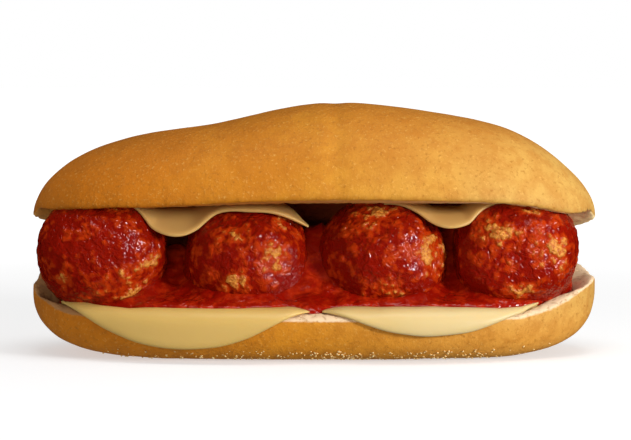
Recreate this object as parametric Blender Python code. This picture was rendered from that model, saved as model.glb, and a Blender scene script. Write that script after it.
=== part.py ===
"""A meatball submarine sandwich, lying on its flat base with the open mouth facing -Y.

A soft roll is cut from the front and stays hinged along its back. Its mouth holds two slices of
cheese, a bed of tomato sauce, four meatballs in a row, and two more slices laid over the meatballs.
Every piece is one closed solid. Lengths are in metres: X runs along the roll, Y from front to back.
"""

import math

import bmesh
import bpy
from mathutils import Vector, noise

# The roll seen from above: a long oval, PLAN_POWER 2 being an ellipse and more being straighter.
ROLL_LENGTH = 0.156
ROLL_WIDTH = 0.068
PLAN_POWER = 2.4

# The crown, tipped up at the front as the roll opens on its hinge.
CROWN_TIP_Z = 0.0375
CROWN_TILT = math.radians(10.8)
CROWN_HEIGHT = 0.0316
CROWN_RIDGE_POWER = 1.95
CROWN_SECTION_POWER = 2.15
CROWN_HOLLOW_DEPTH = 0.0034
CROWN_HOLLOW_X = -0.026
CROWN_HOLLOW_REACH = 0.021
CROWN_SWELL = 0.0018
CROWN_SWELL_X = 0.061
CROWN_SWELL_REACH = 0.019
CROWN_SWELL_END_POWER = 6
# Where the crown droops: x, depth and reach.
CROWN_DROOPS = ((-0.047, 0.0013, 0.026), (0.070, 0.0016, 0.012))

# The heel: a flat base, and a cut face that climbs from its front lip to the hinge.
HEEL_TIP_Z = 0.0175
HEEL_LIP_Z = 0.0127
HEEL_HINGE_Z = 0.0288
HEEL_CLIMB_Y = 0.006
HEEL_CLIMB_REACH = 0.009
# The cut edge rises towards each end and cups the meatball there. A cup has the x where it starts,
# its rise, the rise's power and the channel's radius beyond the end of the row.
LEFT_CUP = {"start": 0.064, "rise": 0.0060, "power": 2.0, "radius": 0.0145}
RIGHT_CUP = {"start": 0.056, "rise": 0.0085, "power": 1.3, "radius": 0.0100}
LIP_DROP = 0.0022
LIP_DROP_START = 0.0006
LIP_DROP_REACH = 0.0010
HEEL_BASE_SHARE = 0.62
HEEL_CORNER_POWER = 2.4
HEEL_END_RISE = 6.6
HEEL_END_ROUND = 2.1

# The mouth: how far back the cut goes, and the channel the row of meatballs presses into both faces.
MOUTH_ROOT_Y = 0.0245
MOUTH_FRONT_Y = -0.046
MOUTH_END_X = 0.084
CHANNEL_Y = -0.009
CHANNEL_HALF_LENGTH = 0.0575
CHANNEL_RADIUS = 0.0178
CHANNEL_FLOOR_Z = 0.0056
CHANNEL_ROOF_Z = 0.0486
CHANNEL_BLEND = 0.0007
HEEL_BLEND = 0.0010

# The meatballs: place of the centre, radius, and how much each is flattened by its own weight.
MEATBALLS = {
    "meatball_1": {"centre": (-0.0581, -0.0085, 0.0275), "radius": 0.0180, "flatness": 0.93},
    "meatball_2": {"centre": (-0.0184, -0.0095, 0.0257), "radius": 0.0172, "flatness": 0.95},
    "meatball_3": {"centre": (0.0188, -0.0095, 0.0265), "radius": 0.0172, "flatness": 0.96},
    "meatball_4": {"centre": (0.0550, -0.0085, 0.0264), "radius": 0.0170, "flatness": 0.97},
}
MEATBALL_LUMP = 0.0006
MEATBALL_LUMP_SIZE = 0.009

# The cheese: round slices, cut in half, of one thickness.
CHEESE_THICKNESS = 0.0014
CHEESE_CLEARANCE = 0.00045
SLICE_CORNER_DEPTH = 0.004
# Lower slices: ends along X, how far the round edge hangs past the lip, and how far back it lies.
LOWER_SLICES = {
    "cheese_lower_left": {"ends": (-0.0680, -0.0035), "hang": 0.0094, "back": 0.027},
    "cheese_lower_right": {"ends": (0.0030, 0.0595), "hang": 0.0058, "back": 0.025},
}
LOWER_CORNER_INSET = 0.0035
LOWER_BEND = 0.0015
# Upper slices: ends along X, the front edge's Y, how far back each reaches, and the sag's place.
UPPER_SLICES = {
    "cheese_upper_left": {"ends": (-0.0550, -0.0015), "front": -0.0175, "back": 0.020,
                          "sag_x": -0.0375, "sag_z": 0.0333},
    "cheese_upper_right": {"ends": (0.0190, 0.0590), "front": -0.0172, "back": 0.019,
                           "sag_x": 0.0372, "sag_z": 0.0356},
}
SAG_FORWARD = 0.0048
SAG_REACH_X = 0.009
SAG_SLOPE = 0.75
SAG_TOP_Z = 0.0397
SAG_RADIUS = 0.009
SHEET_END_FALL = 0.0036
SHEET_BLEND = 0.0012

# The sauce: its plan, its level in front of the meatballs and the heaps between them.
SAUCE_ENDS = (-0.0695, 0.0665)
SAUCE_FRONT_Y = -0.0275
SAUCE_BACK_Y = 0.0100
SAUCE_BULGE = 0.0024
SAUCE_BULGE_X = -0.032
SAUCE_BULGE_REACH = 0.016
SAUCE_FRONT_LEVEL = 0.0172
SAUCE_RISE = 0.16
SAUCE_EDGE = 0.0010
SAUCE_STEP_START = 0.0005
SAUCE_STEP_REACH = 0.0015
# Heaps between the meatballs: X and height.
SAUCE_HEAPS = ((-0.0385, 0.0100), (0.0005, 0.0145), (0.0378, 0.0160))
SAUCE_HEAP_REACH = 0.0075
SAUCE_HEAP_BEHIND_Y = -0.0165
SAUCE_HEAP_BLEND = 0.002
SAUCE_LEVEL_BLEND = 0.0003
SAUCE_END_POWER = 4
SAUCE_END_SHARE = 0.98

# Gap left between pieces that touch.
GAP = 0.0003

ROLL_STATIONS = 32
CROWN_STEPS = 12
HEEL_STEPS = 6
MOUTH_STATIONS = 28
MOUTH_STEPS = 18
BALL_SEGMENTS = 20
BALL_RINGS = 12
SAUCE_COLUMNS = 20
SAUCE_ROWS = 9
SAUCE_ROW_POWER = 1.3


def superellipse(share, power):
    """Height, from 0 to 1, of a superellipse of half width 1 at this share of it."""
    return max(0.0, 1.0 - abs(share) ** power) ** (1.0 / power)


def bell(distance, reach):
    return math.exp(-((distance / reach) ** 2))


def sigmoid(value):
    """A smooth step from 0 to 1 about zero."""
    return 0.5 + 0.5 * math.tanh(0.5 * value)


def soft_ramp(value, softness):
    """0 below zero and the value itself above it, with a rounded corner between."""
    return softness * math.log1p(math.exp(min(value / softness, 60.0)))


def half_width(x):
    return 0.5 * ROLL_WIDTH * superellipse(x / (0.5 * ROLL_LENGTH), PLAN_POWER)


def channel_depth(x, y, end_radius):
    """Squared distance from the row's line over twice its radius: the row's rounded belly."""
    beyond_end = max(0.0, abs(x) - CHANNEL_HALF_LENGTH)
    return beyond_end**2 / (2.0 * end_radius) + (y - CHANNEL_Y) ** 2 / (2.0 * CHANNEL_RADIUS)


def cup_at(x):
    return LEFT_CUP if x < 0.0 else RIGHT_CUP


def heel_edge(x, y):
    """Height of the heel's cut edge: it rises at both ends and climbs towards the hinge."""
    cup = cup_at(x)
    share = max(0.0, abs(x) - cup["start"]) / (0.5 * ROLL_LENGTH - cup["start"])
    rim = HEEL_LIP_Z + cup["rise"] * share ** cup["power"]
    climbed = sigmoid((y - HEEL_CLIMB_Y) / HEEL_CLIMB_REACH)
    hinge = HEEL_LIP_Z + (HEEL_HINGE_Z - HEEL_LIP_Z) * climbed
    return rim + soft_ramp(hinge - rim, CHANNEL_BLEND)


def heel_bed(x, y):
    """The heel's cut face: pressed into a channel by the meatballs."""
    floor = CHANNEL_FLOOR_Z + channel_depth(x, y, cup_at(x)["radius"])
    edge = heel_edge(x, y)
    return edge - soft_ramp(edge - floor, HEEL_BLEND)


def heel_face(x, y):
    """The bed with its front lip worn round."""
    past_lip = (y + half_width(x) - LIP_DROP_START) / LIP_DROP_REACH
    return heel_bed(x, y) - LIP_DROP * sigmoid(-past_lip)


def crown_droop(x):
    return sum(depth * bell(x - middle, reach) for middle, depth, reach in CROWN_DROOPS)


def crown_face(x, y):
    """The crown's cut face, pressed up into an arch by the meatballs."""
    flat = CROWN_TIP_Z - crown_droop(x) - math.tan(CROWN_TILT) * y
    roof = CHANNEL_ROOF_Z - channel_depth(x, y, CHANNEL_RADIUS)
    return flat + soft_ramp(roof - flat, CHANNEL_BLEND)


def crown_height(x):
    """Height of the crown over its cut face: hollow left of the middle, fuller to the right."""
    share = x / (0.5 * ROLL_LENGTH)
    dome = CROWN_HEIGHT * superellipse(share, CROWN_RIDGE_POWER)
    hollow = CROWN_HOLLOW_DEPTH * bell(x - CROWN_HOLLOW_X, CROWN_HOLLOW_REACH)
    swell = CROWN_SWELL * bell(x - CROWN_SWELL_X, CROWN_SWELL_REACH)
    return dome + swell * superellipse(share, CROWN_SWELL_END_POWER) - hollow


def heel_base(x):
    """Height of the heel's underside: flat along the middle, rounded up at both ends."""
    depth = (1.0 - abs(x / (0.5 * ROLL_LENGTH)) ** HEEL_END_RISE) ** (1.0 / HEEL_END_ROUND)
    return HEEL_TIP_Z * (1.0 - min(1.0, 1.006 * depth))


def signed_power(value, power):
    return math.copysign(abs(value) ** power, value)


def crown_point(x, angle):
    """A point on the crown's crust: angle 0 is the back edge, pi the front edge."""
    across = half_width(x) * signed_power(math.cos(angle), 2.0 / CROWN_SECTION_POWER)
    above = crown_height(x) * abs(math.sin(angle)) ** (2.0 / CROWN_SECTION_POWER)
    y = across * math.cos(CROWN_TILT) + above * math.sin(CROWN_TILT)
    z = CROWN_TIP_Z - across * math.sin(CROWN_TILT) + above * math.cos(CROWN_TILT)
    return Vector((x, y, z - crown_droop(x)))


def heel_point(x, angle, side):
    """A point on the heel's crust: angle 0 is its cut edge, pi/2 where the flat base begins."""
    width = half_width(x)
    corner = abs(math.cos(angle)) ** (2.0 / HEEL_CORNER_POWER)
    y = side * width * (HEEL_BASE_SHARE + (1.0 - HEEL_BASE_SHARE) * corner)
    edge = heel_edge(x, side * width)
    depth = (edge - heel_base(x)) * abs(math.sin(angle)) ** (2.0 / HEEL_CORNER_POWER)
    return Vector((x, y, edge - depth))


def loft(rings):
    """A closed mesh through rings of points, its ends filled."""
    bm = bmesh.new()
    loops = [[bm.verts.new(point) for point in ring] for ring in rings]
    for here, there in zip(loops, loops[1:]):
        for i, vert in enumerate(here):
            j = (i + 1) % len(here)
            bm.faces.new((vert, here[j], there[j], there[i]))
    bm.faces.new(reversed(loops[0]))
    bm.faces.new(loops[-1])
    bmesh.ops.recalc_face_normals(bm, faces=bm.faces)
    return bm


def grown(bm, distance):
    """The mesh moved outwards along its normals."""
    bm.normal_update()
    moved = [vert.co + distance * vert.normal for vert in bm.verts]
    for vert, place in zip(bm.verts, moved):
        vert.co = place
    return bm


def food_material(name, colour, roughness):
    material = bpy.data.materials.new(name)
    material.use_nodes = True
    shader = material.node_tree.nodes["Principled BSDF"]
    shader.inputs["Base Color"].default_value = (*colour, 1.0)
    shader.inputs["Roughness"].default_value = roughness
    shader.inputs["Metallic"].default_value = 0.0
    material.diffuse_color = (*colour, 1.0)
    return material


def mesh_object(name, bm, material, parent):
    mesh = bpy.data.meshes.new(name)
    bmesh.ops.triangulate(bm, faces=[face for face in bm.faces if len(face.verts) > 4])
    bm.to_mesh(mesh)
    bm.free()
    mesh.shade_smooth()
    mesh.set_sharp_from_angle(angle=math.radians(50))
    mesh.materials.append(material)
    obj = bpy.data.objects.new(name, mesh)
    bpy.context.scene.collection.objects.link(obj)
    obj.parent = parent
    return obj


def cutter_object(name, bm, parent):
    """A helper that only shapes its neighbours."""
    mesh = bpy.data.meshes.new(name)
    bm.to_mesh(mesh)
    bm.free()
    cutter = bpy.data.objects.new(name, mesh)
    bpy.context.scene.collection.objects.link(cutter)
    cutter.parent = parent
    cutter.display_type = "WIRE"
    cutter.hide_render = True
    return cutter


def cut(obj, cutters):
    for cutter in cutters:
        boolean = obj.modifiers.new("clear_of_" + cutter.name, "BOOLEAN")
        boolean.operation = "DIFFERENCE"
        boolean.solver = "EXACT"
        boolean.object = cutter


def roll_body():
    """The uncut roll, crown tipped up: sections along X, each the crown's arc and the heel's."""
    rings = []
    for i in range(ROLL_STATIONS + 1):
        share = math.sin(0.5 * math.pi * (2.0 * i / ROLL_STATIONS - 1.0))
        x = 0.4999 * ROLL_LENGTH * share
        crown = [crown_point(x, math.pi * k / CROWN_STEPS) for k in range(CROWN_STEPS + 1)]
        quarter = [0.5 * math.pi * k / HEEL_STEPS for k in range(HEEL_STEPS + 1)]
        front = [heel_point(x, angle, -1) for angle in quarter]
        back = [heel_point(x, angle, 1) for angle in reversed(quarter)]
        rings.append(crown + front + back)
    return loft(rings)


def mouth():
    """The space between the two cut faces, open at the front and at both ends."""
    rings = []
    for i in range(MOUTH_STATIONS + 1):
        x = MOUTH_END_X * (2.0 * i / MOUTH_STATIONS - 1.0)
        across = [MOUTH_FRONT_Y + (MOUTH_ROOT_Y - MOUTH_FRONT_Y) * k / MOUTH_STEPS
                  for k in range(MOUTH_STEPS + 1)]
        lower = [Vector((x, y, heel_face(x, y))) for y in across]
        upper = [Vector((x, y, crown_face(x, y))) for y in reversed(across)]
        root_radius = 0.5 * (upper[0].z - lower[-1].z)
        root_z = 0.5 * (upper[0].z + lower[-1].z)
        root = [Vector((x, MOUTH_ROOT_Y + root_radius * math.cos(angle),
                        root_z + root_radius * math.sin(angle)))
                for angle in (-0.25 * math.pi, 0.0, 0.25 * math.pi)]
        rings.append(lower + root + upper)
    return loft(rings)


def meatball(name):
    """A rolled ball of mince, flattened a little and lumpy."""
    ball = MEATBALLS[name]
    centre = Vector(ball["centre"])
    bm = bmesh.new()
    bmesh.ops.create_uvsphere(bm, u_segments=BALL_SEGMENTS, v_segments=BALL_RINGS, radius=1.0)
    for vert in bm.verts:
        outward = vert.co.normalized()
        place = outward * ball["radius"]
        lump = MEATBALL_LUMP * noise.noise((centre + place) / MEATBALL_LUMP_SIZE)
        place += outward * lump
        place.z *= ball["flatness"]
        vert.co = centre + place
    return bm


def meatball_tops(x, y, margin):
    """Height of the meatballs' upper surface plus a margin, or nothing off them."""
    heights = [0.0]
    for ball in MEATBALLS.values():
        centre_x, centre_y, centre_z = ball["centre"]
        reach = ball["radius"] + MEATBALL_LUMP + margin
        inside = 1.0 - ((x - centre_x) ** 2 + (y - centre_y) ** 2) / reach**2
        if inside > 0.0:
            heights.append(centre_z + reach * ball["flatness"] * math.sqrt(inside))
    return max(heights)


def shell(upper, lower):
    """A closed mesh between two grids of points."""
    bm = bmesh.new()
    top = [[bm.verts.new(point) for point in row] for row in upper]
    base = [[bm.verts.new(point) for point in row] for row in lower]
    columns, rows = len(top) - 1, len(top[0]) - 1
    for i in range(columns):
        for j in range(rows):
            bm.faces.new((top[i][j], top[i + 1][j], top[i + 1][j + 1], top[i][j + 1]))
            bm.faces.new((base[i][j], base[i][j + 1], base[i + 1][j + 1], base[i + 1][j]))
    for i in range(columns):
        bm.faces.new((top[i][0], base[i][0], base[i + 1][0], top[i + 1][0]))
        bm.faces.new((top[i + 1][rows], base[i + 1][rows], base[i][rows], top[i][rows]))
    for j in range(rows):
        bm.faces.new((top[0][j + 1], base[0][j + 1], base[0][j], top[0][j]))
        bm.faces.new((top[columns][j], base[columns][j], base[columns][j + 1],
                      top[columns][j + 1]))
    bmesh.ops.recalc_face_normals(bm, faces=bm.faces)
    return bm


def sheet(point_at, columns, rows, thickness):
    """A sheet of even thickness whose middle runs through point_at(u, v), u and v from 0 to 1."""
    middle = [[point_at(i / columns, j / rows) for j in range(rows + 1)]
              for i in range(columns + 1)]
    upper, lower = [], []
    for i in range(columns + 1):
        upper.append([])
        lower.append([])
        for j in range(rows + 1):
            along = middle[min(i + 1, columns)][j] - middle[max(i - 1, 0)][j]
            across = middle[i][min(j + 1, rows)] - middle[i][max(j - 1, 0)]
            normal = along.cross(across).normalized()
            upper[i].append(middle[i][j] + 0.5 * thickness * normal)
            lower[i].append(middle[i][j] - 0.5 * thickness * normal)
    return shell(upper, lower)


def lower_slice(name):
    """Cheese on the heel: it lies under the meatballs, bends over the lip and hangs."""
    piece = LOWER_SLICES[name]
    left, right = piece["ends"]
    lift = CHEESE_CLEARANCE + 0.5 * CHEESE_THICKNESS

    def point_at(u, v):
        side = 2.0 * u - 1.0
        x = left + (right - left) * u
        hang = (piece["hang"] + LOWER_CORNER_INSET) * (1.0 - abs(side) ** 2.4)
        front = hang - LOWER_CORNER_INSET
        corner = LOWER_CORNER_INSET + SLICE_CORNER_DEPTH
        back = -corner - (piece["back"] - SLICE_CORNER_DEPTH) * (1.0 - side**2)
        past_lip = front + (back - front) * v
        y = -half_width(x) - lift - GAP + soft_ramp(-past_lip, LOWER_BEND)
        return Vector((x, y, heel_bed(x, y) + lift - soft_ramp(past_lip, LOWER_BEND)))

    return sheet(point_at, 16, 12, CHEESE_THICKNESS)


def upper_slice(name):
    """Cheese over the meatballs, sagging between them, its long edge to the front."""
    piece = UPPER_SLICES[name]
    left, right = piece["ends"]
    lift = CHEESE_CLEARANCE + 0.5 * CHEESE_THICKNESS

    def point_at(u, v):
        side = 2.0 * u - 1.0
        x = left + (right - left) * u
        sag = bell(x - piece["sag_x"], SAG_REACH_X)
        front = piece["front"] - SAG_FORWARD * sag
        y = front + (SLICE_CORNER_DEPTH + piece["back"] * (1.0 - side**2)) * v
        hung = piece["sag_z"] + SAG_SLOPE * (y - front)
        hung += (x - piece["sag_x"]) ** 2 / (2.0 * SAG_RADIUS)
        hung -= soft_ramp(hung - SAG_TOP_Z + SHEET_END_FALL * side**4, SHEET_BLEND)
        top = meatball_tops(x, y, CHEESE_CLEARANCE) + lift
        draped = hung + soft_ramp(top - hung, SHEET_BLEND)
        ceiling = crown_face(x, y) - lift
        return Vector((x, y, draped - soft_ramp(draped - ceiling, SHEET_BLEND)))

    return sheet(point_at, 18, 8, CHEESE_THICKNESS)


def cheese_cover(x):
    """How far the lower cheese lies between sauce and bread here: 1 over a slice, 0 between."""
    cover = 0.0
    for piece in LOWER_SLICES.values():
        left, right = piece["ends"]
        outside = max(left - x, x - right) - SAUCE_STEP_START
        cover = max(cover, 1.0 - min(1.0, max(0.0, outside / SAUCE_STEP_REACH)))
    return cover


def sauce_stations():
    """Stations along X: even ones, and a pair where the floor steps off each slice's end."""
    left, right = SAUCE_ENDS
    steps = []
    for piece in LOWER_SLICES.values():
        for end, way in zip(piece["ends"], (-1, 1)):
            step = end + way * SAUCE_STEP_START
            steps += [x for x in (step, step + way * SAUCE_STEP_REACH) if left < x < right]
    even = [left + (right - left) * i / SAUCE_COLUMNS for i in range(SAUCE_COLUMNS + 1)]
    return sorted(steps + [x for x in even if all(abs(x - step) > 0.001 for step in steps)])


def sauce():
    """Tomato sauce ladled over the lower cheese, heaped up between the meatballs."""
    left, right = SAUCE_ENDS
    layer = CHEESE_THICKNESS + CHEESE_CLEARANCE
    upper, lower = [], []
    for x in sauce_stations():
        upper.append([])
        lower.append([])
        share = (2.0 * x - left - right) / (right - left)
        front = SAUCE_FRONT_Y - SAUCE_BULGE * bell(x - SAUCE_BULGE_X, SAUCE_BULGE_REACH)
        reach = 0.5 * (SAUCE_BACK_Y - front) * superellipse(SAUCE_END_SHARE * share, SAUCE_END_POWER)
        for j in range(SAUCE_ROWS + 1):
            across = 2.0 * (j / SAUCE_ROWS) ** SAUCE_ROW_POWER - 1.0
            y = 0.5 * (front + SAUCE_BACK_Y) + reach * across
            bed = heel_bed(x, y) + CHEESE_CLEARANCE
            level = SAUCE_FRONT_LEVEL + SAUCE_RISE * (y - SAUCE_FRONT_Y)
            heaped = sigmoid((y - SAUCE_HEAP_BEHIND_Y) / SAUCE_HEAP_BLEND)
            for heap_x, heap_height in SAUCE_HEAPS:
                level += heap_height * bell(x - heap_x, SAUCE_HEAP_REACH) * heaped
            rim = bed + layer + SAUCE_EDGE
            inside = 1.0 - max(abs(share) ** 12, abs(across) ** 6)
            top = rim + soft_ramp((level - rim) * inside, SAUCE_LEVEL_BLEND)
            upper[-1].append(Vector((x, y, top)))
            lower[-1].append(Vector((x, y, bed + layer * cheese_cover(x))))
    return shell(upper, lower)


def main():
    for obj in list(bpy.data.objects):
        bpy.data.objects.remove(obj)
    stand = bpy.data.objects.new("stand", None)
    bpy.context.scene.collection.objects.link(stand)

    bread = food_material("bread_crust", (0.62, 0.33, 0.09), 0.62)
    meat = food_material("meatball_in_sauce", (0.42, 0.06, 0.015), 0.30)
    cheese = food_material("mild_cheese", (0.84, 0.67, 0.36), 0.38)
    tomato = food_material("tomato_sauce", (0.45, 0.03, 0.008), 0.22)

    ball_cutters = [cutter_object("room_for_" + name, grown(meatball(name), GAP), stand)
                    for name in MEATBALLS]
    mouth_cutter = cutter_object("mouth", mouth(), stand)

    roll = mesh_object("roll", roll_body(), bread, stand)
    cut(roll, [mouth_cutter])
    bed = mesh_object("sauce", sauce(), tomato, stand)
    cut(bed, ball_cutters)
    nodes = [roll, bed]
    nodes += [mesh_object(name, meatball(name), meat, stand) for name in MEATBALLS]
    nodes += [mesh_object(name, lower_slice(name), cheese, stand) for name in LOWER_SLICES]
    nodes += [mesh_object(name, upper_slice(name), cheese, stand) for name in UPPER_SLICES]

    # Stand the whole on the origin, by the middle of its box.
    bpy.context.view_layer.update()
    graph = bpy.context.evaluated_depsgraph_get()
    corners = [node.matrix_world @ Vector(corner) for node in nodes
               for corner in node.evaluated_get(graph).bound_box]
    lowest = [min(corner[axis] for corner in corners) for axis in range(3)]
    highest = [max(corner[axis] for corner in corners) for axis in range(3)]
    stand.location = (-0.5 * (lowest[0] + highest[0]), -0.5 * (lowest[1] + highest[1]), -lowest[2])


main()
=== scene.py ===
"""A short meatball submarine sandwich, resting on its flat base with its open side to the front."""

import math
import random

import bmesh
import bpy
from mathutils import Matrix, Vector, noise


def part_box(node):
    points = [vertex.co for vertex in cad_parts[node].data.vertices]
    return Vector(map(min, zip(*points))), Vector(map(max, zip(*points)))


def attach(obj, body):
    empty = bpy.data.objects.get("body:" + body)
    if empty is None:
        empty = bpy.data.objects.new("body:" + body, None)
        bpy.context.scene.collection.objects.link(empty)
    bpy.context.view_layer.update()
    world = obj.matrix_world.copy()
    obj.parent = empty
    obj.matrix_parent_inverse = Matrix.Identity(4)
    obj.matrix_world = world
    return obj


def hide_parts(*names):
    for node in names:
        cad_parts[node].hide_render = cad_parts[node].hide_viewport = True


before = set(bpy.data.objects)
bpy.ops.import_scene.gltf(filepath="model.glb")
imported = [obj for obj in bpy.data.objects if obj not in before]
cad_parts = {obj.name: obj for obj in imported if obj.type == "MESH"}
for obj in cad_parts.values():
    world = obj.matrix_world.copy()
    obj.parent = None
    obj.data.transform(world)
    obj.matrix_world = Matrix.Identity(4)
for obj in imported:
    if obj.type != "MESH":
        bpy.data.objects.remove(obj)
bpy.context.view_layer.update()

# ---- The roll ----
# A soft wheat roll, baked golden, with a thin dry crust over a cream crumb. A knife has cut it from
# the front and left it hinged along the back, and the filling has pressed a channel into the crumb.

roll_low, roll_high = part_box("roll")
HALF_LENGTH = 0.5 * (roll_high.x - roll_low.x)
HALF_WIDTH = 0.034
CROWN_REACH_BACK = 0.0340
AXIS_Y = roll_high.y - CROWN_REACH_BACK
PLAN_POWER = 2.4

CROWN_TIP_Z = 0.0375
CROWN_TILT = math.radians(10.8)
CROWN_HEIGHT = 0.0316
HEEL_TIP_Z = 0.0175
HEEL_LIP_Z = 0.0127
HEEL_HINGE_Z = 0.0288
HEEL_BASE_SHARE = 0.62
MOUTH_ROOT_Y = 0.0245
CHANNEL_Y = -0.009
CHANNEL_HALF_LENGTH = 0.0575
CHANNEL_RADIUS = 0.0178
CHANNEL_NARROWS_FROM = 0.050
CHANNEL_FLOOR_Z = 0.0056
CHANNEL_ROOF_Z = 0.0486
CHANNEL_BLEND = 0.0007
HEEL_BLEND = 0.0010
LEFT_CUP = {"start": 0.062, "rise": 0.0066, "power": 1.6, "radius": 0.0145}
RIGHT_CUP = {"start": 0.056, "rise": 0.0085, "power": 0.75, "radius": 0.0100}
CROWN_DROOPS = ((-0.047, 0.0013, 0.026), (0.070, 0.0016, 0.012))
CRUMB_VOXEL = 0.00082


def superellipse(share, power):
    return max(0.0, 1.0 - abs(share) ** power) ** (1.0 / power)


def bell(distance, reach):
    return math.exp(-((distance / reach) ** 2))


def sigmoid(value):
    return 0.5 + 0.5 * math.tanh(0.5 * value)


def soft_ramp(value, softness):
    """0 below zero and the value itself above it, with a rounded corner between."""
    return softness * math.log1p(math.exp(min(value / softness, 60.0)))


def smooth_step(value, low, high):
    share = max(0.0, min(1.0, (value - low) / (high - low)))
    return share * share * (3.0 - 2.0 * share)


def half_width(x):
    return HALF_WIDTH * superellipse(x / HALF_LENGTH, PLAN_POWER)


def channel_depth(x, y, end_radius):
    beyond_end = max(0.0, abs(x) - CHANNEL_HALF_LENGTH)
    side_radius = max(0.003, CHANNEL_RADIUS - max(0.0, abs(x) - CHANNEL_NARROWS_FROM))
    return beyond_end**2 / (2.0 * end_radius) + (y - CHANNEL_Y) ** 2 / (2.0 * side_radius)


def cup_at(x):
    return LEFT_CUP if x < 0.0 else RIGHT_CUP


def heel_edge(x, y):
    """Height of the heel's cut edge: it rises at both ends and climbs towards the hinge."""
    cup = cup_at(x)
    share = max(0.0, abs(x) - cup["start"]) / (HALF_LENGTH - cup["start"])
    rim = HEEL_LIP_Z + cup["rise"] * share ** cup["power"]
    hinge = HEEL_LIP_Z + (HEEL_HINGE_Z - HEEL_LIP_Z) * sigmoid((y - 0.006) / 0.009)
    return rim + soft_ramp(hinge - rim, CHANNEL_BLEND)


def heel_bed(x, y):
    """Height of the heel's cut face under the filling."""
    edge = heel_edge(x, y)
    floor = CHANNEL_FLOOR_Z + channel_depth(x, y, cup_at(x)["radius"])
    return edge - soft_ramp(edge - floor, HEEL_BLEND)


def heel_face(x, y):
    """The same face with its front lip worn round, most by the last ball, least at the tips."""
    worn = 0.0022 + 0.0009 * bell(x - 0.064, 0.005) - 0.0018 * smooth_step(abs(x), 0.0690, 0.0780)
    worn_from = 0.0006 + 0.0016 * bell(x - 0.066, 0.008)
    return heel_bed(x, y) - worn * sigmoid((worn_from - y - half_width(x)) / 0.0010)


def crown_droop(x):
    return sum(depth * bell(x - middle, reach) for middle, depth, reach in CROWN_DROOPS)


def crown_face(x, y):
    """Height of the crown's cut face over the filling."""
    flat = CROWN_TIP_Z - crown_droop(x) - math.tan(CROWN_TILT) * y
    roof = CHANNEL_ROOF_Z - channel_depth(x, y, CHANNEL_RADIUS)
    return flat + soft_ramp(roof - flat, CHANNEL_BLEND)


def crown_point(x, angle):
    """A point on the crown's crust: angle 0 is the back edge, pi the front edge."""
    share = x / HALF_LENGTH
    dome = CROWN_HEIGHT * superellipse(share, 1.95) - 0.0034 * bell(x + 0.026, 0.021)
    dome += 0.0018 * bell(x - 0.061, 0.019) * superellipse(share, 6)
    across = half_width(x) * math.copysign(abs(math.cos(angle)) ** 0.93, math.cos(angle))
    above = dome * math.sin(angle) ** 0.93
    y = across * math.cos(CROWN_TILT) + above * math.sin(CROWN_TILT)
    z = CROWN_TIP_Z - across * math.sin(CROWN_TILT) + above * math.cos(CROWN_TILT)
    return Vector((x, y, z - crown_droop(x)))


def heel_point(x, turn):
    """A point on the heel's crust: turn runs from 0 at the back edge to 1 at the front edge."""
    side = 1.0 if turn < 0.5 else -1.0
    to_middle = min(turn, 1.0 - turn)
    corner = 0.5 * math.pi * min(1.0, to_middle / 0.36)
    share = HEEL_BASE_SHARE + (1.0 - HEEL_BASE_SHARE) * max(0.0, math.cos(corner)) ** 0.83
    if to_middle > 0.36:
        share *= (0.5 - to_middle) / 0.14
    y = side * half_width(x) * share
    edge = heel_edge(x, side * half_width(x))
    lift = (1.0 - min(1.0, abs(x) / HALF_LENGTH) ** 6.6) ** (1.0 / 2.1)
    base = HEEL_TIP_Z * (1.0 - min(1.0, 1.006 * lift))
    return Vector((x, y, edge - (edge - base) * math.sin(corner) ** 0.83))


def uncut_roll():
    """A ball of dough drawn out along X, its poles at the roll's tips."""
    bm = bmesh.new()
    bmesh.ops.create_uvsphere(bm, u_segments=256, v_segments=220, radius=1.0)
    for vert in bm.verts:
        x = HALF_LENGTH * max(-0.9999, min(0.9999, vert.co.z))
        angle = math.atan2(vert.co.y, vert.co.x)
        if angle >= 0.0:
            vert.co = crown_point(x, angle)
        else:
            vert.co = heel_point(x, -angle / math.pi)
    bmesh.ops.recalc_face_normals(bm, faces=bm.faces)
    return bm


def knife_cut():
    """The space that the knife and the filling open in the roll."""
    bm = bmesh.new()
    bmesh.ops.create_grid(bm, x_segments=150, y_segments=70, size=1.0)
    for vert in bm.verts:
        x = 1.08 * HALF_LENGTH * vert.co.x
        y = -0.046 + (MOUTH_ROOT_Y + 0.046) * 0.5 * (vert.co.y + 1.0)
        vert.co = Vector((x, y, heel_face(x, y)))
    raised = bmesh.ops.extrude_face_region(bm, geom=bm.faces[:])
    for vert in raised["geom"]:
        if isinstance(vert, bmesh.types.BMVert):
            vert.co.z = crown_face(vert.co.x, vert.co.y)
    root = [edge for edge in bm.edges
            if all(vert.co.y > MOUTH_ROOT_Y - 1e-5 for vert in edge.verts)
            and abs(edge.verts[0].co.x - edge.verts[1].co.x) > 1e-4]
    bmesh.ops.bevel(bm, geom=root, offset=0.002, segments=4, profile=0.5,
                    affect="EDGES", material=-1)
    bmesh.ops.recalc_face_normals(bm, faces=bm.faces)
    return bm


def new_object(name, bm):
    mesh = bpy.data.meshes.new(name)
    bm.to_mesh(mesh)
    bm.free()
    mesh.shade_smooth()
    obj = bpy.data.objects.new(name, mesh)
    bpy.context.scene.collection.objects.link(obj)
    return obj


def with_modifiers_applied(obj):
    """The object's mesh as its modifiers leave it, as a new bmesh; the object itself goes."""
    bpy.context.view_layer.update()
    graph = bpy.context.evaluated_depsgraph_get()
    bm = bmesh.new()
    bm.from_mesh(obj.evaluated_get(graph).to_mesh())
    bpy.data.objects.remove(obj)
    return bm


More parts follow.
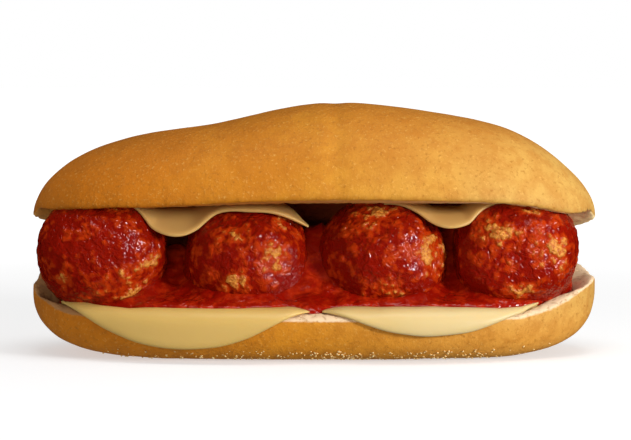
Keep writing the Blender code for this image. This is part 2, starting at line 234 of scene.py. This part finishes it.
def baked_roll():
    """The roll cut open, its crust faintly uneven and its crumb porous."""
    loaf = new_object("loaf", uncut_roll())
    opening = new_object("opening", knife_cut())
    cut = loaf.modifiers.new("knife", "BOOLEAN")
    cut.operation = "DIFFERENCE"
    cut.solver = "MANIFOLD"
    cut.object = opening
    even = loaf.modifiers.new("even_mesh", "REMESH")
    even.mode = "VOXEL"
    even.voxel_size = CRUMB_VOXEL
    bm = with_modifiers_applied(loaf)
    bpy.data.objects.remove(opening)
    for _ in range(4):
        bmesh.ops.smooth_vert(bm, verts=bm.verts, factor=0.5, use_axis_x=True, use_axis_y=True,
                              use_axis_z=True)
    crumb = bm.verts.layers.float.new("crumb")
    soaked = bm.verts.layers.float.new("soaked")
    bm.normal_update()
    for vert in bm.verts:
        x, y, z = vert.co
        facing = vert.normal.z
        heel = 1.0 - smooth_step(abs(z - heel_face(x, y)), 0.0005, 0.0011)
        heel *= smooth_step(facing, 0.2, 0.5)
        crown = 1.0 - smooth_step(abs(z - crown_face(x, y)), 0.0005, 0.0011)
        crown *= smooth_step(-facing, 0.3, 0.6) * smooth_step(half_width(x) - abs(y), 0.0016, 0.0026)
        root = 1.0 - smooth_step(abs(y - MOUTH_ROOT_Y), 0.0008, 0.0016)
        root *= 1.0 if heel_face(x, y) < z < crown_face(x, y) else 0.0
        vert[crumb] = max(heel, crown, root)
        soak_from = -0.006 if crown > 0.3 else -0.022
        behind = smooth_step(y, soak_from, soak_from + 0.006)
        vert[soaked] = vert[crumb] * behind * (1.0 - smooth_step(abs(x), 0.0600, 0.0680))
    for _ in range(3):
        around = [sum(edge.other_vert(vert)[crumb] for edge in vert.link_edges) / len(vert.link_edges)
                  for vert in bm.verts]
        for vert, share in zip(bm.verts, around):
            vert[crumb] = share
    for vert in bm.verts:
        x, y, z = vert.co
        inside = vert[crumb]
        wave = 0.00035 * noise.noise(vert.co / 0.021) + 0.00010 * noise.noise(vert.co / 0.0055)
        wave -= 0.00035 * bell(x - 0.0058, 0.0026) * smooth_step(z, 0.040, 0.046)
        pores = max(0.0, noise.noise(vert.co / 0.0021 + Vector((7, 3, 1))) - 0.10)
        ragged = 0.00012 * noise.noise(vert.co / 0.0012)
        vert.co += vert.normal * (wave * (1.0 - inside) + (ragged - 0.0006 * pores) * inside)
        vert.co.y += AXIS_Y
        vert.co.z = max(0.0, vert.co.z)
    return bm


class Socket:
    """A shader value that can be used in sums."""

    def __init__(self, tree, link):
        self.tree = tree
        self.link = link

    def worked(self, operation, first, second):
        node = self.tree.nodes.new("ShaderNodeMath")
        node.operation = operation
        for socket, value in zip(node.inputs, (first, second)):
            if isinstance(value, Socket):
                self.tree.links.new(value.link, socket)
            else:
                socket.default_value = value
        return Socket(self.tree, node.outputs[0])

    def __add__(self, other):
        return self.worked("ADD", self, other)

    def __radd__(self, other):
        return self.worked("ADD", other, self)

    def __sub__(self, other):
        return self.worked("SUBTRACT", self, other)

    def __rsub__(self, other):
        return self.worked("SUBTRACT", other, self)

    def __mul__(self, other):
        return self.worked("MULTIPLY", self, other)

    def __rmul__(self, other):
        return self.worked("MULTIPLY", other, self)


class Finish:
    """One finish, built up from nodes round its Principled shader."""

    def __init__(self, name):
        self.material = bpy.data.materials.new(name)
        self.material.use_nodes = True
        self.tree = self.material.node_tree
        self.shader = self.tree.nodes["Principled BSDF"]
        self.place = self.node("ShaderNodeTexCoord", output=3)

    def node(self, kind, settings=None, values=None, output=0):
        node = self.tree.nodes.new(kind)
        for name, setting in (settings or {}).items():
            setattr(node, name, setting)
        for name, value in (values or {}).items():
            if isinstance(value, Socket):
                self.tree.links.new(value.link, node.inputs[name])
            else:
                node.inputs[name].default_value = value
        return Socket(self.tree, node.outputs[output])

    def grain(self, size, detail=2.0, roughness=0.5, distortion=0.0):
        """Noise from 0 to 1 whose patches are about this many metres across."""
        return self.node("ShaderNodeTexNoise", None,
                         {"Vector": self.place, "Scale": 1.0 / size, "Detail": detail,
                          "Roughness": roughness, "Distortion": distortion})

    def painted(self, name):
        """A float kept on the mesh's points."""
        return self.node("ShaderNodeAttribute", {"attribute_name": name}, output=2)

    def step(self, value, low, high):
        return self.node("ShaderNodeMapRange", {"interpolation_type": "SMOOTHSTEP"},
                         {"Value": value, "From Min": low, "From Max": high})

    def mixed(self, share, first, second):
        return self.node("ShaderNodeMix", {"data_type": "RGBA"},
                         {0: share, 6: first, 7: second}, output=2)

    def bumped(self, height, distance, strength=1.0):
        return self.node("ShaderNodeBump", None,
                         {"Height": height, "Distance": distance, "Strength": strength})

    def feed(self, name, value):
        self.tree.links.new(value.link, self.shader.inputs[name])

    def fix(self, **values):
        for name, value in values.items():
            self.shader.inputs[name.replace("_", " ")].default_value = value


def bread_finish():
    finish = Finish("golden_crust_and_crumb")
    crumb = finish.painted("crumb")
    along = finish.node("ShaderNodeSeparateXYZ", None, {"Vector": finish.place}, output=0)
    height = finish.node("ShaderNodeSeparateXYZ", None, {"Vector": finish.place}, output=2)
    uneven = finish.grain(0.026, 3.0) * 0.05 - 0.025
    # Painted light and shade: the crust is paler towards the right end, where the lamps stand, and browner towards
    # the shaded left end.
    painted_light_right = finish.step(along + uneven, -0.010, 0.075)
    painted_shade_left = finish.step(uneven - along, -0.012, 0.060)
    crust = finish.mixed(painted_light_right, (0.66, 0.272, 0.019, 1.0), (0.65, 0.370, 0.085, 1.0))
    crust = finish.mixed(painted_shade_left, crust, (0.59, 0.172, 0.005, 1.0))
    # Browner towards the top of the crown: partly real bake, partly painted shade, strongest towards the shaded
    # left end.
    top = finish.step(height + uneven, 0.046, 0.070) * (0.7 + painted_shade_left * 0.3)
    crust = finish.mixed(top, crust, (0.50, 0.157, 0.006, 1.0))
    # Painted light: the heel's lower band is brighter and more orange, standing in for light bounced up from the
    # table.
    base = finish.step(0.020 - height, 0.0, 0.018) * 0.5
    crust = finish.mixed(base, crust, (0.82, 0.275, 0.010, 1.0))
    mottle = finish.step(finish.grain(0.0042, 4.0, 0.6), 0.38, 0.68)
    crust = finish.mixed(mottle * 0.40, crust, (0.46, 0.140, 0.008, 1.0))
    speckle = finish.grain(0.00080, 3.0, 0.65)
    crust = finish.mixed(finish.step(speckle, 0.54, 0.80) * 0.50, crust, (0.88, 0.52, 0.13, 1.0))
    dark_specks = finish.step(finish.grain(0.0011, 3.0, 0.62), 0.54, 0.74)
    crust = finish.mixed(dark_specks * 0.60, crust, (0.38, 0.125, 0.008, 1.0))
    # Painted shade: the crumb is darker in its pores, as shade lying in the holes.
    holes = finish.step(finish.grain(0.0016, 4.0, 0.6, 0.4), 0.50, 0.74)
    cream = finish.mixed(holes * 0.75, (0.90, 0.66, 0.41, 1.0), (0.54, 0.30, 0.13, 1.0))
    # Painted shade: the crumb is browner towards the shaded left end.
    cream = finish.mixed(painted_shade_left * 0.9, cream, (0.40, 0.17, 0.045, 1.0))
    # The crumb on the crown's cut face is painted shade towards the left end and painted light towards the right
    # end.
    crown_crumb_shaded_to_lit = finish.mixed(painted_light_right, (0.72, 0.32, 0.06, 1.0), (1.00, 0.76, 0.38, 1.0))
    cream = finish.mixed(finish.step(height, 0.0300, 0.0320), cream, crown_crumb_shaded_to_lit)
    cream = finish.mixed(finish.painted("soaked"), cream, (0.45, 0.080, 0.020, 1.0))
    edge = finish.step(crumb + finish.grain(0.0012, 3.0) * 0.3 - 0.15, 0.32, 0.62)
    finish.feed("Base Color", finish.mixed(edge, crust, cream))
    finish.feed("Roughness", 0.50 + edge * 0.32 + speckle * 0.14)
    relief = (speckle + mottle * 0.35) * (1.0 - edge) + (1.0 - holes) * edge
    finish.feed("Normal", finish.bumped(relief, 0.00022, 0.8))
    finish.fix(Specular_IOR_Level=0.16)
    return finish.material


def served(obj, material, slot, *nodes):
    """The piece takes its finish and stands for its solids."""
    obj.data.materials.append(material)
    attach(obj, "root")
    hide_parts(*nodes)
    return obj


roll = served(new_object("baked_roll", baked_roll()), bread_finish(), "bread", "roll")

# ---- The cornmeal ----
# Coarse ground maize, strewn under the dough so that it does not stick to the oven floor. The
# grains are baked on to the crust, round the heel's lower edge.

GRAIN_RADII = (0.00022, 0.00045)


def strewn_cornmeal():
    scatter = random.Random(12)
    bm = bmesh.new()
    for _ in range(700):
        from_edge = 0.345 - 0.160 * scatter.random() ** 1.5
        x = scatter.triangular(-0.062, 0.066, 0.015)
        place = heel_point(x, from_edge if scatter.random() < 0.4 else 1.0 - from_edge)
        radius = scatter.uniform(*GRAIN_RADII)
        place = Vector((place.x, place.y + AXIS_Y, max(place.z, radius)))
        turned = Matrix.Rotation(scatter.uniform(0.0, math.tau), 4, scatter.choice("XYZ"))
        squashed = Matrix.Diagonal((1.0, scatter.uniform(0.6, 1.0), 0.7, 1.0))
        bmesh.ops.create_icosphere(bm, subdivisions=1, radius=radius,
                                   matrix=Matrix.Translation(place) @ turned @ squashed)
    return bm


def cornmeal_finish():
    finish = Finish("cornmeal")
    finish.feed("Base Color", finish.mixed(finish.grain(0.0020), (0.74, 0.40, 0.08, 1.0),
                                           (0.92, 0.72, 0.36, 1.0)))
    finish.fix(Roughness=0.6)
    return finish.material


cornmeal = new_object("cornmeal", strewn_cornmeal())
cornmeal.data.materials.append(cornmeal_finish())
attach(cornmeal, "root")

# ---- The lower cheese ----
# Two half-round slices of mild cheese, laid side by side on the heel with the round edge forward.
# The warm filling has softened them, so that they bend over the bread's lip and hang.

CHEESE_THICKNESS = 0.0014
CHEESE_CLEARANCE = 0.00045
LIFT = 0.0002 + 0.5 * CHEESE_THICKNESS
SLICE_CORNER_DEPTH = 0.004
MELTED_RIM = 0.0016
POINTED_END = 0.0060
LOWER_SLICES = {
    "cheese_lower_left": {"ends": (-0.0690, -0.0012), "hang": 0.0094, "back": 0.027},
    "cheese_lower_right": {"ends": (0.0022, 0.0608), "hang": 0.0058, "back": 0.025},
}


def lower_slice_point(piece, u, v):
    """u runs from the slice's left end to its right, v from its hanging edge to the back."""
    side = 2.0 * u - 1.0
    left, right = piece["ends"]
    x = left + (right - left) * u
    front = (piece["hang"] + 0.0045) * (1.0 - abs(side) ** 2.2) - 0.0045
    corner = 0.0045 + SLICE_CORNER_DEPTH
    back = -corner - (piece["back"] - SLICE_CORNER_DEPTH) * (1.0 - side**2)
    past_lip = front + (back - front) * v
    y = -half_width(x) - LIFT - 0.0003 + soft_ramp(-past_lip, 0.0015)
    rest = 0.5 * (heel_bed(x, y) + heel_face(x, y))
    return Vector((x, y + AXIS_Y, rest + LIFT - soft_ramp(past_lip, 0.0015)))


def laid_slice(name, point_at, piece):
    """A slice of even thickness whose rim has melted thin and round."""
    bm = bmesh.new()
    bmesh.ops.create_grid(bm, x_segments=170, y_segments=90, size=1.0)
    places = []
    for vert in bm.verts:
        u, v = 0.5 * (vert.co.x + 1.0), 0.5 * (vert.co.y + 1.0)
        place = point_at(piece, u, v)
        from_end = min(u, 1.0 - u) * (piece["ends"][1] - piece["ends"][0])
        depth = (point_at(piece, u, 1.0) - point_at(piece, u, 0.0)).length
        from_rim = min(from_end, min(v, 1.0 - v) * depth)
        full = superellipse(1.0 - min(1.0, from_rim / MELTED_RIM), 2)
        drawn_out = smooth_step(from_end, -0.0040, POINTED_END)
        place.z -= 0.5 * CHEESE_THICKNESS * (1.0 - drawn_out)
        places.append((place, full * drawn_out))
    for vert, (place, full) in zip(bm.verts, places):
        vert.co = place + Vector((0.0, 0.0, 0.00018 * noise.noise(place / 0.007)))
    sheet = new_object(name + "_slice", bm)
    melt = sheet.vertex_groups.new(name="melt")
    for index, (place, full) in enumerate(places):
        melt.add([index], full, "REPLACE")
    wall = sheet.modifiers.new("thickness", "SOLIDIFY")
    wall.thickness = CHEESE_THICKNESS
    wall.offset = 0.0
    wall.vertex_group = "melt"
    wall.thickness_vertex_group = 0.15
    return sheet


def cheese_finish():
    finish = Finish("mild_cheese")
    cloud = finish.grain(0.013, 2.0)
    along = finish.node("ShaderNodeSeparateXYZ", None, {"Vector": finish.place}, output=0)
    height = finish.node("ShaderNodeSeparateXYZ", None, {"Vector": finish.place}, output=2)
    # Painted light and shade: the cheese is paler towards the right end, where the lamps stand, and more yellow on
    # the shaded left.
    painted_light_right = finish.step(along + cloud * 0.02, -0.010, 0.050)
    colour = finish.mixed(painted_light_right, (0.70, 0.45, 0.120, 1.0), (0.72, 0.54, 0.245, 1.0))
    # Painted shade: the upper slices, under the crown, are darker and more orange.
    colour = finish.mixed(finish.step(height, 0.024, 0.034), colour, (0.68, 0.40, 0.120, 1.0))
    finish.feed("Base Color", colour)
    finish.feed("Roughness", 0.34 + cloud * 0.16)
    finish.feed("Normal", finish.bumped(finish.grain(0.0030, 3.0), 0.00010, 0.5))
    finish.fix(Subsurface_Weight=0.2, Subsurface_Scale=0.002,
               Subsurface_Radius=(1.0, 0.7, 0.3), Specular_IOR_Level=0.45)
    return finish.material


cheese = cheese_finish()
for name, piece in LOWER_SLICES.items():
    served(laid_slice(name, lower_slice_point, piece), cheese, "cheese", name)

# ---- The meatballs ----
# Balls of coarse mince and breadcrumb, browned in the pan and then coated with tomato sauce. The
# sauce fills the hollows and runs off the lumps, where the tan meat shows through.

MEATBALLS = {
    "meatball_1": {"seed": 11.0, "power": 2.3, "bare": (((0.45, -0.70, -0.50), 0.42), ((0.72, -0.68, -0.05), 0.24),
                                          ((-0.55, -0.75, -0.35), 0.15),
                                          ((0.15, -0.45, 0.80), 0.24))},
    "meatball_2": {"seed": 27.0, "power": 2.25, "bare": (((0.62, -0.50, 0.60), 0.26), ((-0.15, -0.90, -0.25), 0.24),
                                          ((-0.10, -0.85, 0.40), 0.26), ((0.45, -0.85, 0.05), 0.30))},
    "meatball_3": {"seed": 43.0, "power": 2.25, "bare": (((0.18, -0.80, -0.55), 0.36), ((0.72, -0.62, 0.20), 0.42),
                                          ((-0.15, -0.60, 0.75), 0.34))},
    "meatball_4": {"seed": 61.0, "power": 2.8, "bare": (((-0.30, -0.85, 0.35), 0.34), ((0.50, -0.80, 0.15), 0.34),
                                          ((0.1, -0.85, -0.45), 0.22), ((0.2, -0.5, 0.8), 0.30))},
}


def middle_and_half(node):
    low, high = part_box(node)
    return 0.5 * (low + high), 0.5 * (high - low)


BALLS = {name: middle_and_half(name) for name in MEATBALLS}


def pebbles(place, size):
    """Rounded lumps about this size packed side by side: 1 at their tops, 0 between them."""
    near = noise.voronoi(place / size)[0]
    return 1.0 - min(1.0, near[0] * 1.25) ** 2


def rolled_meatball(name):
    """Sauce lies level in the hollows of the mince, and the higher lumps stand out of it."""
    look = MEATBALLS[name]
    centre, half = BALLS[name]
    bm = bmesh.new()
    bmesh.ops.create_icosphere(bm, subdivisions=7, radius=1.0)
    bare_layer = bm.verts.layers.float.new("bare")
    depth_layer = bm.verts.layers.float.new("depth")
    away = Vector((look["seed"], 0.0, 0.0))
    for vert in bm.verts:
        outward = vert.co.normalized()
        power = 2.0 + (look["power"] - 2.0) * smooth_step(outward.z, -0.7, 0.1)
        squared = sum(abs(part) ** power for part in outward) ** (-1.0 / power)
        place = Vector((outward.x * half.x, outward.y * half.y, outward.z * half.z)) * squared
        spot = place + away
        wiped = 0.0
        for direction, reach in look["bare"]:
            apart = (outward - Vector(direction).normalized()).length
            wiped = max(wiped, bell(apart, reach))
        rolled = 0.0010 * noise.noise(spot / 0.011) - 0.0006
        mince = 0.00055 * pebbles(spot, 0.0042) + 0.00045 * pebbles(spot + Vector((0, 5, 0)), 0.0020)
        mince += 0.00030 * noise.noise(spot / 0.0014) + 0.00014 * noise.noise(spot / 0.0006)
        patch = noise.noise(spot / 0.0055) + 0.6 * noise.noise(spot / 0.0024)
        level = 0.00096 + 0.00034 * patch - 0.00074 * wiped
        stands_out = mince - level
        vert[bare_layer] = smooth_step(stands_out, -0.00005, 0.00064) * (0.35 + 0.65 * wiped)
        vert[depth_layer] = smooth_step(-stands_out, -0.0002, 0.0008)
        coat = level + soft_ramp(stands_out, 0.00010) - 0.4 * soft_ramp(-stands_out, 0.00010)
        vert.co = centre + place + outward * (rolled + coat)
    return bm


def meatball_finish():
    finish = Finish("sauced_meatball")
    bare = finish.painted("bare")
    depth = finish.painted("depth")
    grit = finish.grain(0.0010, 4.0, 0.65)
    pulp = finish.grain(0.0030, 3.0, 0.6)
    tan = finish.mixed(finish.step(grit, 0.36, 0.62), (0.50, 0.120, 0.009, 1.0),
                       (0.84, 0.36, 0.055, 1.0))
    thin_sauce = (0.48, 0.034, 0.002, 1.0)
    deep_sauce = (0.25, 0.0055, 0.0008, 1.0)
    tomato = finish.mixed(finish.step(depth + pulp * 0.7, 0.30, 0.95), thin_sauce, deep_sauce)
    show = finish.step(bare + grit * 0.6 - 0.3, 0.06, 0.70)
    finish.feed("Base Color", finish.mixed(show * 0.88, tomato, tan))
    finish.feed("Roughness", 0.09 + show * 0.22 + grit * 0.08)
    wrinkles = finish.grain(0.0017, 1.5, 0.5, 1.0)
    finish.feed("Normal", finish.bumped(wrinkles + grit * show * 0.6, 0.00090, 0.8))
    finish.fix(Specular_IOR_Level=0.30)
    return finish.material


meatball = meatball_finish()
for name in MEATBALLS:
    served(new_object(name + "_rolled", rolled_meatball(name)), meatball, "meat", name)

# ---- The sauce ----
# Thick tomato sauce with crushed pulp, ladled over the lower cheese before the meatballs went in.
# It creeps a little way up each ball, heaps up between them and rounds over at its front edge.

SAUCE_ENDS = (-0.0705, 0.0715)
SAUCE_FRONT_Y = -0.0275
SAUCE_BACK_Y = 0.0100
# Each heap's x, height and the y that it lies behind.
SAUCE_HEAPS = ((-0.0385, 0.0100, -0.0085), (0.0005, 0.0145, -0.0165), (0.0378, 0.0160, -0.0085))


def cheese_cover(x):
    """1 over a lower slice, 0 between the slices."""
    return max(smooth_step(min(x - piece["ends"][0], piece["ends"][1] - x), -0.001, POINTED_END)
               for piece in LOWER_SLICES.values())


def creep(x, y):
    """How high the sauce climbs against the nearest meatball here."""
    climb = 0.0
    for centre, half in BALLS.values():
        apart = math.hypot(x - centre.x, y + AXIS_Y - centre.y)
        climb = max(climb, bell(apart - 0.0158, 0.0022))
    return 0.0016 * climb


def ladled_sauce():
    """A sheet over the ladled area is folded in two: its lower half lies down, its upper swells."""
    left, right = SAUCE_ENDS
    bm = bmesh.new()
    bmesh.ops.create_grid(bm, x_segments=300, y_segments=110, size=1.0)
    raised = bmesh.ops.extrude_face_region(bm, geom=bm.faces[:])
    upper = {item for item in raised["geom"] if isinstance(item, bmesh.types.BMVert)}
    for vert in bm.verts:
        share, across = vert.co.x, vert.co.y
        across = 2.0 * (0.5 * (across + 1.0)) ** 1.4 - 1.0
        x = 0.5 * (left + right) + 0.5 * (right - left) * share
        front = SAUCE_FRONT_Y - 0.0056 * bell(x + 0.027, 0.016) - 0.0030 * bell(x, 0.004)
        front += 0.0007 * noise.noise(Vector((x / 0.005, 0.0, 0.0)))
        back_from_lip = 0.0022 + 0.0016 * smooth_step(x, 0.056, 0.064)
        lip = half_width(x) - back_from_lip - 0.0020 * smooth_step(-x, 0.042, 0.056)
        front += soft_ramp(-lip - front, 0.0008)
        reach = 0.5 * (SAUCE_BACK_Y - front) * superellipse(0.99 * share, 9)
        y = 0.5 * (front + SAUCE_BACK_Y) + reach * across
        floor = 0.5 * (heel_bed(x, y) + heel_face(x, y)) - 0.0001 + CHEESE_THICKNESS * cheese_cover(x)
        level = 0.0172 + 0.16 * (y - SAUCE_FRONT_Y) - 0.0020 * smooth_step(-x, 0.054, 0.066)
        level += 0.0014 * smooth_step(x, 0.056, 0.066)
        for heap_x, heap_height, heap_y in SAUCE_HEAPS:
            level += heap_height * bell(x - heap_x, 0.0075) * sigmoid((y - heap_y) / 0.002)
        place = Vector((x, y, level))
        level += 0.0006 * pebbles(place, 0.0036) + 0.0005 * noise.noise(place / 0.0045) + creep(x, y)
        round_over = superellipse(across, 2.1) * superellipse(share, 7)
        rise = 0.0003 * round_over + max(0.0, level - floor) * round_over
        vert.co = Vector((x, y + AXIS_Y, floor + (rise if vert in upper else 0.0)))
    bmesh.ops.recalc_face_normals(bm, faces=bm.faces)
    return bm


def sauce_finish():
    finish = Finish("tomato_sauce")
    pulp = finish.grain(0.0032, 4.0, 0.6)
    colour = finish.mixed(finish.step(pulp, 0.42, 0.72), (0.29, 0.0050, 0.0008, 1.0),
                          (0.50, 0.026, 0.0030, 1.0))
    finish.feed("Base Color", colour)
    finish.feed("Roughness", 0.12 + pulp * 0.12)
    finish.feed("Normal", finish.bumped(finish.grain(0.0028, 1.5, 0.5, 0.8), 0.0009, 0.7))
    finish.fix(Specular_IOR_Level=0.36)
    return finish.material


served(new_object("ladled_sauce", ladled_sauce()), sauce_finish(), "sauce", "sauce")

# ---- The upper cheese ----
# Two more slices of the same cheese, laid over the meatballs with the straight edge forward. They
# drape over each ball and sag into the gaps between, under the crown.

UPPER_SLICES = {
    "cheese_upper_left": {"ends": (-0.0590, -0.0015), "front": -0.0175, "back": 0.020,
                          "sag_x": -0.0375, "sag_z": 0.0333, "overhang": 0.0040},
    "cheese_upper_right": {"ends": (0.0190, 0.0590), "front": -0.0180, "back": 0.019,
                           "sag_x": 0.0372, "sag_z": 0.0356, "overhang": 0.0},
}
SAG_TOP_Z = 0.0397
SHEET_BLEND = 0.0012


def meatball_tops(x, y):
    heights = [0.0]
    for name, (centre, half) in BALLS.items():
        power = MEATBALLS[name]["power"]
        inside = 1.0 - abs((x - centre.x) / half.x) ** power
        inside -= abs((y + AXIS_Y - centre.y) / half.y) ** power
        if inside > 0.0:
            heights.append(centre.z + half.z * inside ** (1.0 / power))
    return max(heights)


def upper_slice_point(piece, u, v):
    """u runs from the slice's left end to its right, v from its front edge to the back."""
    side = 2.0 * u - 1.0
    left, right = piece["ends"]
    x = left + (right - left) * u
    front = piece["front"] - 0.0048 * bell(x - piece["sag_x"], 0.009)
    front -= piece["overhang"] * bell(x - piece["sag_x"] - 0.020, 0.012)
    y = front + (SLICE_CORNER_DEPTH + piece["back"] * (1.0 - side**2)) * v
    hung = piece["sag_z"] + 0.75 * (y - front) + (x - piece["sag_x"]) ** 2 / 0.018
    hung -= soft_ramp(hung - SAG_TOP_Z + 0.0036 * side**4, SHEET_BLEND)
    draped = hung + soft_ramp(meatball_tops(x, y) + LIFT - hung, SHEET_BLEND)
    ceiling = crown_face(x, y) - LIFT
    return Vector((x, y + AXIS_Y, draped - soft_ramp(draped - ceiling, SHEET_BLEND)))


for name, piece in UPPER_SLICES.items():
    served(laid_slice(name, upper_slice_point, piece), cheese, "cheese", name)

# ---- The table and the light ----
# A plain white sweep, lit by a large soft lamp from the front right and an even white surround.

VIEW_ELEVATION = math.radians(4.0)
VIEW_DISTANCE = 0.8
VIEW_WIDTH = 0.1751


def floor():
    bm = bmesh.new()
    bmesh.ops.create_grid(bm, x_segments=1, y_segments=1, size=3.0)
    table = new_object("table", bm)
    finish = Finish("white_table")
    away = finish.node("ShaderNodeVectorMath", {"operation": "LENGTH"}, {0: finish.place}, output=1)
    glow = finish.mixed(finish.step(away, 0.12, 0.60), (0.50, 0.50, 0.50, 1.0), (0.9, 0.9, 0.9, 1.0))
    finish.feed("Emission Color", glow)
    finish.fix(Base_Color=(0.6, 0.6, 0.6, 1.0), Roughness=0.8, Specular_IOR_Level=0.1,
               Emission_Strength=1.0)
    table.data.materials.append(finish.material)
    table.location.z = -0.0002
    table.visible_diffuse = False
    table.visible_glossy = False


def lamp(name, place, size, power, mirrored=True):
    light = bpy.data.lights.new(name, "AREA")
    light.energy = power
    light.size = size
    obj = bpy.data.objects.new(name, light)
    obj.location = place
    obj.visible_glossy = mirrored
    obj.rotation_euler = (Vector((0.0, 0.0, 0.03)) - obj.location).to_track_quat("-Z", "Y").to_euler()
    bpy.context.scene.collection.objects.link(obj)


def camera():
    target = Vector((0.0004, 0.0, 0.0363))
    back = Vector((0.0, -math.cos(VIEW_ELEVATION), math.sin(VIEW_ELEVATION)))
    lens = bpy.data.cameras.new("camera")
    lens.sensor_width = 36.0
    lens.lens = lens.sensor_width * VIEW_DISTANCE / VIEW_WIDTH
    lens.clip_start = 0.01
    obj = bpy.data.objects.new("camera", lens)
    obj.location = target + VIEW_DISTANCE * back
    obj.rotation_euler = (0.5 * math.pi - VIEW_ELEVATION, 0.0, 0.0)
    bpy.context.scene.collection.objects.link(obj)
    bpy.context.scene.camera = obj


def surround():
    """White to look at, and a dimmer, even light on the object."""
    world = bpy.data.worlds.new("white_surround")
    world.use_nodes = True
    nodes, links = world.node_tree.nodes, world.node_tree.links
    rays = nodes.new("ShaderNodeLightPath")
    strength = nodes.new("ShaderNodeMapRange")
    strength.inputs["To Min"].default_value = 0.36
    strength.inputs["To Max"].default_value = 1.0
    links.new(rays.outputs["Is Camera Ray"], strength.inputs["Value"])
    links.new(strength.outputs["Result"], nodes["Background"].inputs["Strength"])
    nodes["Background"].inputs["Color"].default_value = (1.0, 1.0, 1.0, 1.0)
    bpy.context.scene.world = world
    world.cycles_visibility.glossy = False


floor()
lamp("key", Vector((0.52, -0.40, 0.15)), 0.12, 3.4)
lamp("overhead", Vector((0.05, -0.15, 0.70)), 0.40, 1.9)
lamp("fill", Vector((-0.20, -0.65, 0.03)), 0.40, 1.2, mirrored=False)
camera()
surround()
bpy.context.scene.view_settings.view_transform = "Standard"
